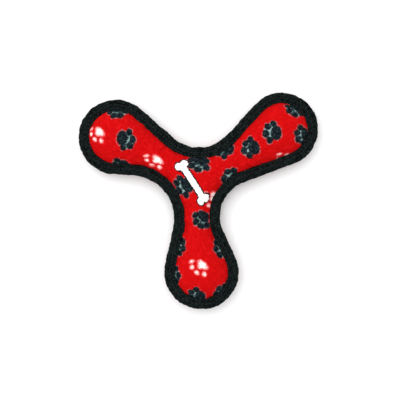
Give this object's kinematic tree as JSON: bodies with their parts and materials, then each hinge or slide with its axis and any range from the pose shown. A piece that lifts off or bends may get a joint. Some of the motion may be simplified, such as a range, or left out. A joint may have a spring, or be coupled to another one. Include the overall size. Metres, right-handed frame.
{
  "type": "soft boomerang toy",
  "caption": "Soft stuffed boomerang with three round-ended arms, a bound edge, layered cloth faces and a pouched squeaker in the lobe at the end of each arm.",
  "frame": {"origin": "middle of the hub where the arms meet, on the plane that the back rests on", "axes": "+Z out of the front face, +Y between the two upper arms, +X towards the right arm's side, seen from the front"},
  "size_m": [0.2029, 0.1835, 0.03],
  "materials": {
    "printed_fleece": "brushed fleece, red with a print of black and white paws",
    "binding_fleece": "brushed fleece tape, black",
    "liner_canvas": "woven canvas, natural colour",
    "fibre_filling": "loose white fibre",
    "pouch_cloth": "plain weave, off white",
    "sewing_thread": "twisted thread, black",
    "squeaker_bulb": "soft moulded plastic, cream",
    "squeaker_plug": "moulded plastic, white",
    "squeaker_reed": "thin plastic strip"
  },
  "bodies": {
    "toy": {"front_face_panel": "printed_fleece", "back_face_panel": "printed_fleece", "front_canvas_liner": "liner_canvas", "back_canvas_liner": "liner_canvas", "front_fibre_filling": "fibre_filling", "back_fibre_filling": "fibre_filling", "edge_binding": "binding_fleece", "front_outer_stitch_row": "sewing_thread", "front_inner_stitch_row": "sewing_thread", "back_outer_stitch_row": "sewing_thread", "back_inner_stitch_row": "sewing_thread", "right_squeaker_bulb": "squeaker_bulb", "right_pouch_front": "pouch_cloth", "right_pouch_back": "pouch_cloth", "right_pouch_stitching": "sewing_thread", "left_squeaker_bulb": "squeaker_bulb", "left_pouch_front": "pouch_cloth", "left_pouch_back": "pouch_cloth", "left_pouch_stitching": "sewing_thread", "lower_squeaker_bulb": "squeaker_bulb", "lower_pouch_front": "pouch_cloth", "lower_pouch_back": "pouch_cloth", "lower_pouch_stitching": "sewing_thread"},
    "right_plug": {"right_squeaker_plug": "squeaker_plug"},
    "left_plug": {"left_squeaker_plug": "squeaker_plug"},
    "lower_plug": {"lower_squeaker_plug": "squeaker_plug"},
    "right_reed": {"right_squeaker_reed": "squeaker_reed"},
    "left_reed": {"left_squeaker_reed": "squeaker_reed"},
    "lower_reed": {"lower_squeaker_reed": "squeaker_reed"}
  },
  "joints": [
    {"name": "right_lobe_press", "type": "slide", "parent": "toy", "child": "right_plug", "axis": [0, 0, -1], "range_m": [0, 0.005], "stiffness_N_per_m": 600, "deforming": ["right_squeaker_bulb"]},
    {"name": "right_reed_flutter", "type": "hinge", "parent": "right_plug", "child": "right_reed", "pos_m": [0.0721, 0.0454, 0.019], "axis": [0, 1, 0], "range_deg": [-8, 8], "stiffness_Nm_per_rad": 0.0002},
    {"name": "left_lobe_press", "type": "slide", "parent": "toy", "child": "left_plug", "axis": [0, 0, -1], "range_m": [0, 0.005], "stiffness_N_per_m": 600, "deforming": ["left_squeaker_bulb"]},
    {"name": "left_reed_flutter", "type": "hinge", "parent": "left_plug", "child": "left_reed", "pos_m": [-0.06876, 0.0389, 0.019], "axis": [0, 1, 0], "range_deg": [-8, 8], "stiffness_Nm_per_rad": 0.0002},
    {"name": "lower_lobe_press", "type": "slide", "parent": "toy", "child": "lower_plug", "axis": [0, 0, -1], "range_m": [0, 0.005], "stiffness_N_per_m": 600, "deforming": ["lower_squeaker_bulb"]},
    {"name": "lower_reed_flutter", "type": "hinge", "parent": "lower_plug", "child": "lower_reed", "pos_m": [0.00398, -0.0759, 0.019], "axis": [0, 1, 0], "range_deg": [-8, 8], "stiffness_Nm_per_rad": 0.0002}
  ]
}
